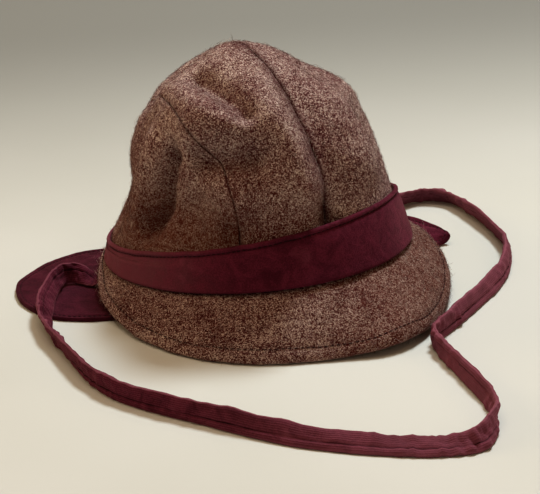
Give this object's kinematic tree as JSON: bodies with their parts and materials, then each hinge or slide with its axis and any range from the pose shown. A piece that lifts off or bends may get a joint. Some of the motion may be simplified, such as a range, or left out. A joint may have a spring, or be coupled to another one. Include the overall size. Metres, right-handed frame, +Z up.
{
  "type": "bonnet",
  "caption": "Soft felted-wool bonnet with a slumped panelled crown, velvet hat band, drooping topstitched brim, velvet ear flaps and a long velvet chin strap laid on the table.",
  "frame": {"origin": "middle of the bonnet's box on the table, measured without the chin strap", "axes": "+Z up, -Y towards the front of the hat, +X towards the wearer's left"},
  "size_m": [0.2865, 0.3191, 0.1351],
  "materials": {
    "wool": "felted grey and wine heather wool, fuzzy",
    "velvet": "deep wine cotton velvet"
  },
  "bodies": {
    "root": {"crown_centre": "wool", "crown_side_left": "wool", "crown_side_right": "wool", "brim": "wool", "band": "velvet", "ear_flap_left": "velvet", "ear_flap_right": "velvet", "chin_strap": "velvet"}
  },
  "joints": []
}
